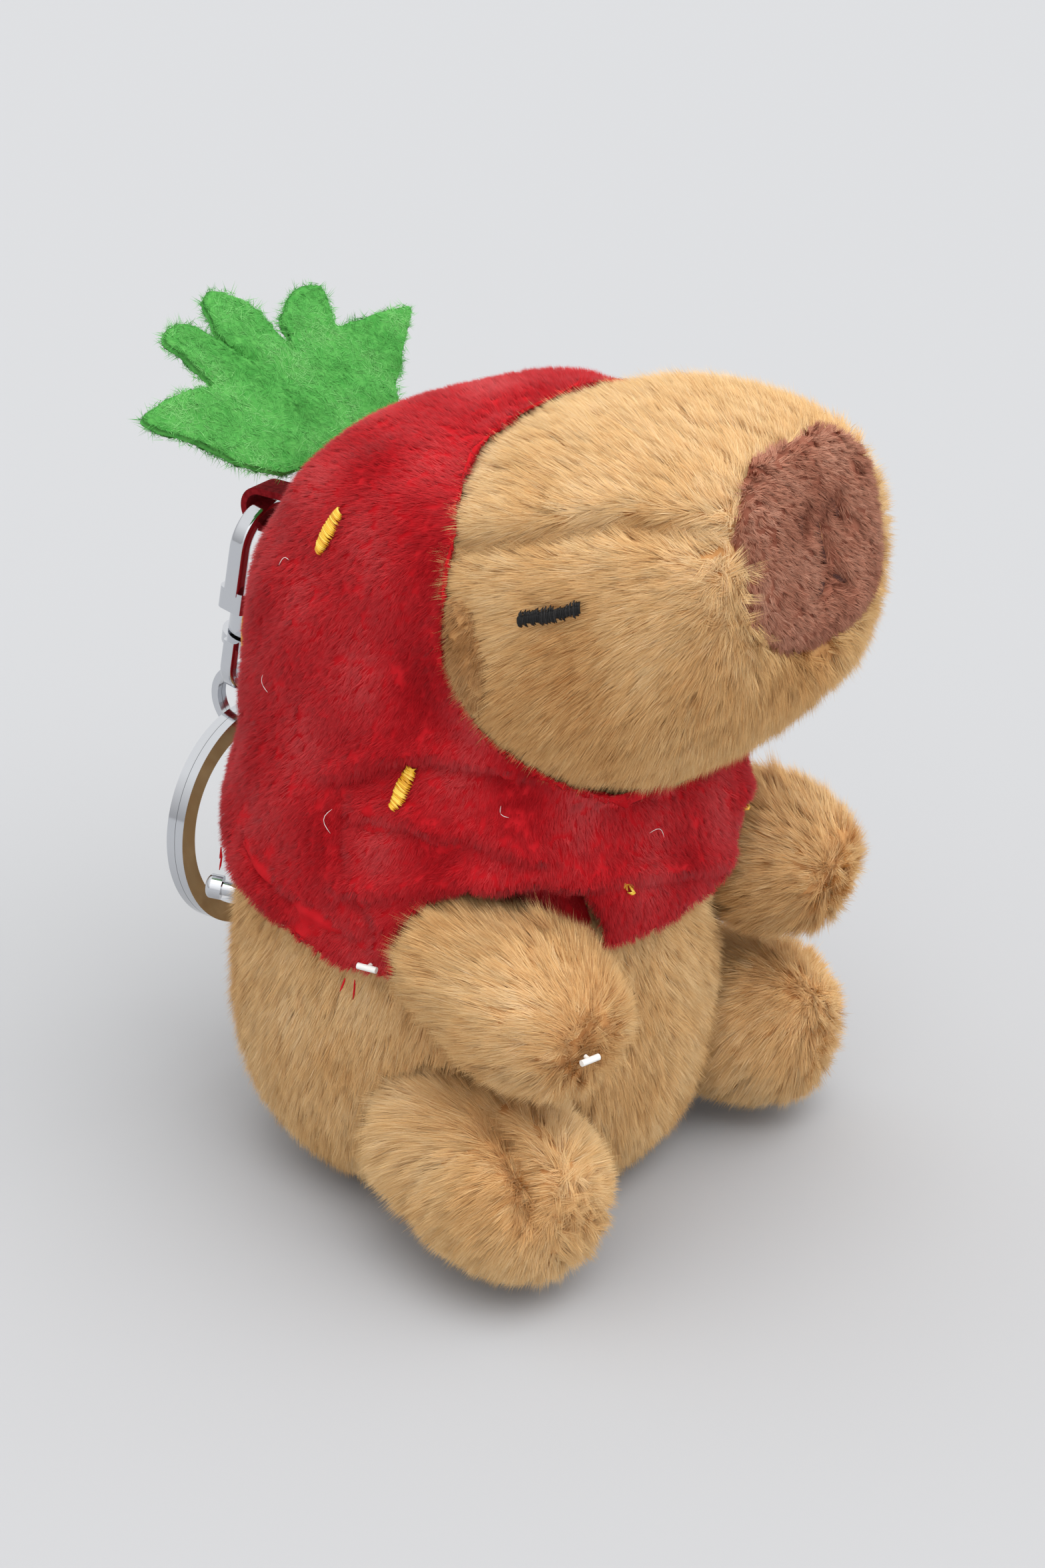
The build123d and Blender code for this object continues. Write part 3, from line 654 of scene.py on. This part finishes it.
# Arms and legs
for side in ("right", "left"):
    for kind in ("arm", "leg"):
        cover, filling = f"{kind}_{side}_cover", f"{kind}_{side}_filling"
        V, F = even_skin([cover], voxel=0.8, inset=1.5)
        if kind == "leg":
            cleft = TOE_CLEFT if side == "right" else mirrored(TOE_CLEFT)
            V = creased(V, F, cleft, depth=2.6, width=1.7)
        limb_body = f"{kind}_{side}"
        skin = build(f"{limb_body}_skin", V, F, [TAN_SKIN], limb_body)
        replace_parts(skin, cover, filling)
        P, N = roots((V, F), 1.8, open_to(["body_cover", "cape"], reach=1.0, lift=0.2))
        tip = to_side(side, ARM_TIP if kind == "arm" else LEG_TIP)
        away = unit(P - tip)
        flow = away + (0.2 if kind == "arm" else 1.1) * DOWN
        length = np.full(len(P), 3.0)
        whorl = np.exp(-(distance(P, tip) / 5) ** 2)[:, None]
        flow = flow * (1 - whorl) + rng.normal(size=P.shape) * 1.2 * whorl
        if kind == "leg":
            gap = line_distance(P, np.array(cleft))[0]
            length *= 0.5 + 0.5 * fade(gap, 0, 3.0) + 0.5 * fade(P[:, 1], -22, 6)
        else:
            near = np.exp(-(distance(P, to_side(side, ARM_TUFT)) / 2.0) ** 2)
            length *= 1 + 0.9 * near + 0.5 * fade(P[:, 1], -27, 6)
            flow = flow * (1 - near)[:, None] + np.array([0, 0, 2.0]) * near[:, None]
        pile(f"{limb_body}_pile", limb_body, P, N, flow, TAN, length=length, seed=13,
             floor=LOWEST_TIP)

# Seeds: place and direction
lines = []
SEEDS = [((-23.0, 4.3, 91.2), (0.16, -0.26, 1)), ((-28.2, -9.3, 63.6), (0, -0.2, 1)),
         ((-11.7, -28.9, 51.6), (0, 0, 1)), ((-14.5, 26.5, 69.0), (0, 0, 1))]
for middle, along in SEEDS:
    for m in (1, -1):
        place, way = (middle[0] * m, *middle[1:]), (along[0] * m, *along[1:])
        lines += satin(garment, place, way, half_length=2.75, half_width=1.0, step=0.21, rise=0.55,
                       ragged=0.12, taper=0.5)
out = 0.7
lines = [[p + unit(p * [1, 1, 0]) * out for p in line] for line in lines]
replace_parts(threads("seed_threads", "plush", lines, 0.14, YELLOW), "seed_stitches")

# Lint on the garment, and loose ends of the hem's thread
P, N = roots((garment[0], garment[1][shows[garment[1]].all(1)]), 0.0011 / THIN)
lines = []
for p, n in zip(P, N):
    way = unit(np.cross(n, rng.normal(size=3)))
    side = np.cross(n, way)
    size = rng.uniform(1.2, 3.0)
    lines.append([p + n * 0.95 + way * size * t + side * size * 0.35 * np.sin(3 * t)
                  for t in np.linspace(0, 1, 7)])
threads("lint", "plush", lines, 0.035, [NYLON])
lines = []
for place in ((-31.4, -3.0, 37.4), (-31.3, -4.4, 37.6), (-26.0, 20.6, 45.4), (-25.2, 21.4, 45.6)):
    start = np.array(place)
    drop = np.array([rng.uniform(-0.5, 0), rng.uniform(-0.6, 0.6), -rng.uniform(1.4, 2.4)])
    lines.append([start + drop * t + np.array([-0.4, 0, 0]) * t * t for t in np.linspace(0, 1, 5)])
threads("hem_ends", "plush", lines, 0.13, RED[:3])


# ---------------------------------------------------------------- felt leaf

LEAF_SEAM = np.array([0.0, 22.4, 91.6])
LEAF_TILT = np.radians(40.0)
LEAF_OUT = np.array([0.0, np.cos(LEAF_TILT), np.sin(LEAF_TILT)])
LEAF_UP = np.array([0.0, -np.sin(LEAF_TILT), np.cos(LEAF_TILT)])
LEAF_THICK = 1.5
LEAF_EDGE = 0.55          # the edge's thickness as a share of it
GRID_STEP, GRID_GAP = 0.55, 0.35          # between inner vertices, and from them to the edge
# Most of the outline's points come from the projection script too. Some were set one by
# one.
LEAF_OUTLINE = [
    (-10.5, -1.6), (-12.6, -0.6), (-15.7, 2.0), (-20.7, 7.2), (-24.8, 11.4), (-24.8, 12.6),
    (-21.4, 13.1), (-15.6, 13.4), (-11.1, 12.7), (-11.9, 15.1), (-12.8, 18.6), (-13.4, 20.7),
    (-11.5, 21.9), (-9.1, 22.0), (-7.2, 21.2), (-5.7, 19.6), (-4.0, 15.8), (-2.7, 13.4),
    (-3.8, 14.7), (-4.4, 17.2), (-4.6, 19.2), (-3.6, 21.6), (-3.1, 23.7), (-0.9, 24.8),
    (1.4, 23.2), (3.5, 21.4), (4.2, 17.2), (4.8, 13.6), (6.0, 14.9), (6.4, 17.8), (8.6, 18.7),
    (11.0, 20.2), (12.9, 20.6), (16.0, 19.7), (16.1, 18.5), (13.9, 14.8), (13.5, 13.4),
    (18.2, 13.3), (23.4, 13.2), (28.5, 12.6), (26.3, 10.7), (20.7, 7.0), (19.5, 5.7),
    (15.8, 3.0), (12.6, 0.0), (10.5, -1.6),
]


def rounded(outline, rounds=2):
    """A closed outline with its corners cut smooth."""
    points = np.array(outline, float)
    for _ in range(rounds):
        after = np.roll(points, -1, 0)
        pair = [0.8 * points + 0.2 * after, 0.2 * points + 0.8 * after]
        points = np.stack(pair, 1).reshape(-1, 2)
    return points


def inside(points, outline):
    """Which points an outline holds."""
    a, b = outline, np.roll(outline, -1, 0)
    x, y = points[:, :1], points[:, 1:]
    crosses = (a[:, 1] > y) != (b[:, 1] > y)
    rise = np.where(b[:, 1] == a[:, 1], 1e-9, b[:, 1] - a[:, 1])
    return (crosses & (x < (b[:, 0] - a[:, 0]) * (y - a[:, 1]) / rise + a[:, 0])).sum(1) % 2 == 1


edge = rounded(LEAF_OUTLINE)
edge = edge + rng.normal(size=edge.shape) * 0.06
columns, rows = np.arange(-26, 30, GRID_STEP), np.arange(-2, 26, GRID_STEP)
grid = np.stack(np.meshgrid(columns, rows), -1).reshape(-1, 2)
grid = grid + rng.uniform(-0.15, 0.15, grid.shape)
grid = grid[inside(grid, edge)]
gap = np.min(np.linalg.norm(grid[:, None] - edge[None], axis=2), axis=1)
grid = grid[gap > GRID_GAP]
flat = np.vstack([edge, grid])
ring = [(i, (i + 1) % len(edge)) for i in range(len(edge))]
found = geometry.delaunay_2d_cdt([Vector(p) for p in flat], ring, [], 1, 1e-6)
flat = np.array([tuple(p) for p in found[0]])
tris = np.array(found[2])
rim = [i for i, source in enumerate(found[3]) if source and source[0] < len(edge)]
rim.sort(key=lambda i: found[3][i][0])
swell = 0.25 * waves(np.column_stack([flat, flat[:, :1] * 0]), 9.0, 31)
thin = np.ones(len(flat))
thin[rim] = LEAF_EDGE
sheets = []
for sign in (1, -1):
    lumps = 0.03 * rng.normal(size=len(flat))
    high = swell + sign * (LEAF_THICK / 2 * thin + lumps)
    sheets.append(LEAF_SEAM + flat[:, :1] * [1, 0, 0] + flat[:, 1:] * LEAF_OUT
                  + high[:, None] * LEAF_UP)
V = np.vstack(sheets)
count = len(flat)
corners = flat[tris]
turned = np.cross(corners[:, 1] - corners[:, 0], corners[:, 2] - corners[:, 0]) < 0
tris[turned] = tris[turned][:, ::-1]
walls = []
for i, j in zip(rim, rim[1:] + rim[:1]):
    walls += [[i, i + count, j], [j, i + count, j + count]]
F = np.vstack([tris, tris[:, ::-1] + count, walls])
leaf = build("leaf_felt", V, F, [FELT], "leaf")
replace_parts(leaf, "leaf")
P, N = roots((V, F), 6.0)
D = rng.normal(size=P.shape)
pile("leaf_fibres", "leaf", P, N, D, GREEN, length=1.2, lean=86, each=4, radius=0.5, width=0.08,
     gather=1.0, shade=0.6, patch=7.0, seed=33, wild=1.0, uneven=0.4)


# ---------------------------------------------------------------- nodes that stay

for name, look in {
    "hang_loop": TAPE, "tag_pin_hem": NYLON, "tag_pin_arm": NYLON, "back_stud": CHROME,
    "clasp_frame": CHROME, "clasp_gate": CHROME, "gate_pin": CHROME, "gate_spring": STEEL,
    "swivel_rivet": CHROME, "swivel_shackle": CHROME, "link_ring": CHROME, "split_ring": CHROME,
}.items():
    nodes[name].data.materials.clear()
    nodes[name].data.materials.append(look)


# ---------------------------------------------------------------- stage

GROUND = srgb(186, 187, 189)
bpy.ops.mesh.primitive_plane_add(size=8.0, location=(0, 0, 0))
ground = bpy.context.object
ground.name = "ground"
ground.data.materials.append(plain("ground", GROUND, 1.0, specular=0.0))

world = bpy.data.worlds.new("studio")
bpy.context.scene.world = world
world.use_nodes = True
tree = world.node_tree
sky = tree.nodes["Background"]
place = tree.nodes.new("ShaderNodeTexCoord")
split = tree.nodes.new("ShaderNodeSeparateXYZ")
ramp = tree.nodes.new("ShaderNodeValToRGB")
ramp.color_ramp.elements[0].position = 0.0
ramp.color_ramp.elements[0].color = (0.45, 0.45, 0.46, 1)
ramp.color_ramp.elements[1].position = 0.6
ramp.color_ramp.elements[1].color = (1, 1, 1, 1)
tree.links.new(place.outputs["Generated"], split.inputs["Vector"])
tree.links.new(split.outputs["Z"], ramp.inputs["Fac"])
tree.links.new(ramp.outputs["Color"], sky.inputs["Color"])
sky.inputs["Strength"].default_value = 1.05

# Name, angular size in degrees, strength and direction
LIGHTS = [("key", 60, 1.45, (0.1, 0.4, -1.0)), ("fill", 90, 0.75, (0.8, 1.0, -0.5))]
for name, angle, power, way in LIGHTS:
    light = bpy.data.lights.new(name, "SUN")
    light.angle = np.radians(angle)
    light.energy = power
    lamp = bpy.data.objects.new(name, light)
    lamp.rotation_euler = Vector(way).to_track_quat("-Z", "Y").to_euler()
    bpy.context.scene.collection.objects.link(lamp)

TARGET = Vector((4.4, -3.5, 49.9)) * MM
AZIMUTH, ELEVATION, DISTANCE = np.radians(-54.0), np.radians(25.0), 495.0 * MM
level = np.cos(ELEVATION)
towards = Vector((np.sin(AZIMUTH) * level, -np.cos(AZIMUTH) * level, np.sin(ELEVATION)))
lens = bpy.data.cameras.new("camera")
lens.sensor_fit = "VERTICAL"
lens.sensor_height = 36.0
lens.lens = 90.1
lens.clip_start = 0.01
camera = bpy.data.objects.new("camera", lens)
camera.location = TARGET + towards * DISTANCE
camera.rotation_euler = (-towards).to_track_quat("-Z", "Y").to_euler()
bpy.context.scene.collection.objects.link(camera)
bpy.context.scene.camera = camera
bpy.context.scene.view_settings.view_transform = "Standard"
